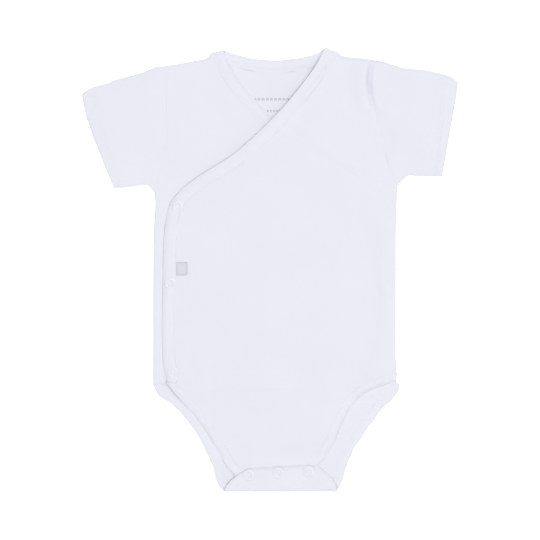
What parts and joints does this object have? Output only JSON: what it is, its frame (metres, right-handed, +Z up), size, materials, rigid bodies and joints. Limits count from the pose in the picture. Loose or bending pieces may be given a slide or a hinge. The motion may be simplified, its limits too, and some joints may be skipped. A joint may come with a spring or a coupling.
{
  "type": "baby onesie",
  "caption": "Short-sleeved wrap-over baby bodysuit in white jersey, laid flat and closed, with ring snaps down the side and across the crotch flap.",
  "frame": {"origin": "on the surface that the garment lies on, under the middle of its outline", "axes": "+X towards the side of the garment at the right of the picture, +Y towards its neck, +Z up out of its front"},
  "size_m": [0.3156, 0.3731, 0.0067],
  "materials": {
    "jersey": "matte single jersey knit",
    "binding": "matte rib knit, folded double",
    "label": "woven tape",
    "snap": "smooth moulded rings"
  },
  "bodies": {
    "root": {"back_panel": "jersey", "front_under": "jersey", "front_over": "jersey", "sleeve_left": "jersey", "sleeve_right": "jersey", "neck_band_back": "binding", "neck_band_under": "binding", "wrap_band": "binding", "leg_band_front_left": "binding", "leg_band_front_right": "binding", "leg_band_back_left": "binding", "leg_band_back_right": "binding", "label_patch": "label", "side_snap_1": "snap", "side_snap_2": "snap", "side_snap_3": "snap", "crotch_snap_1": "snap", "crotch_snap_2": "snap", "crotch_snap_3": "snap"}
  },
  "joints": []
}
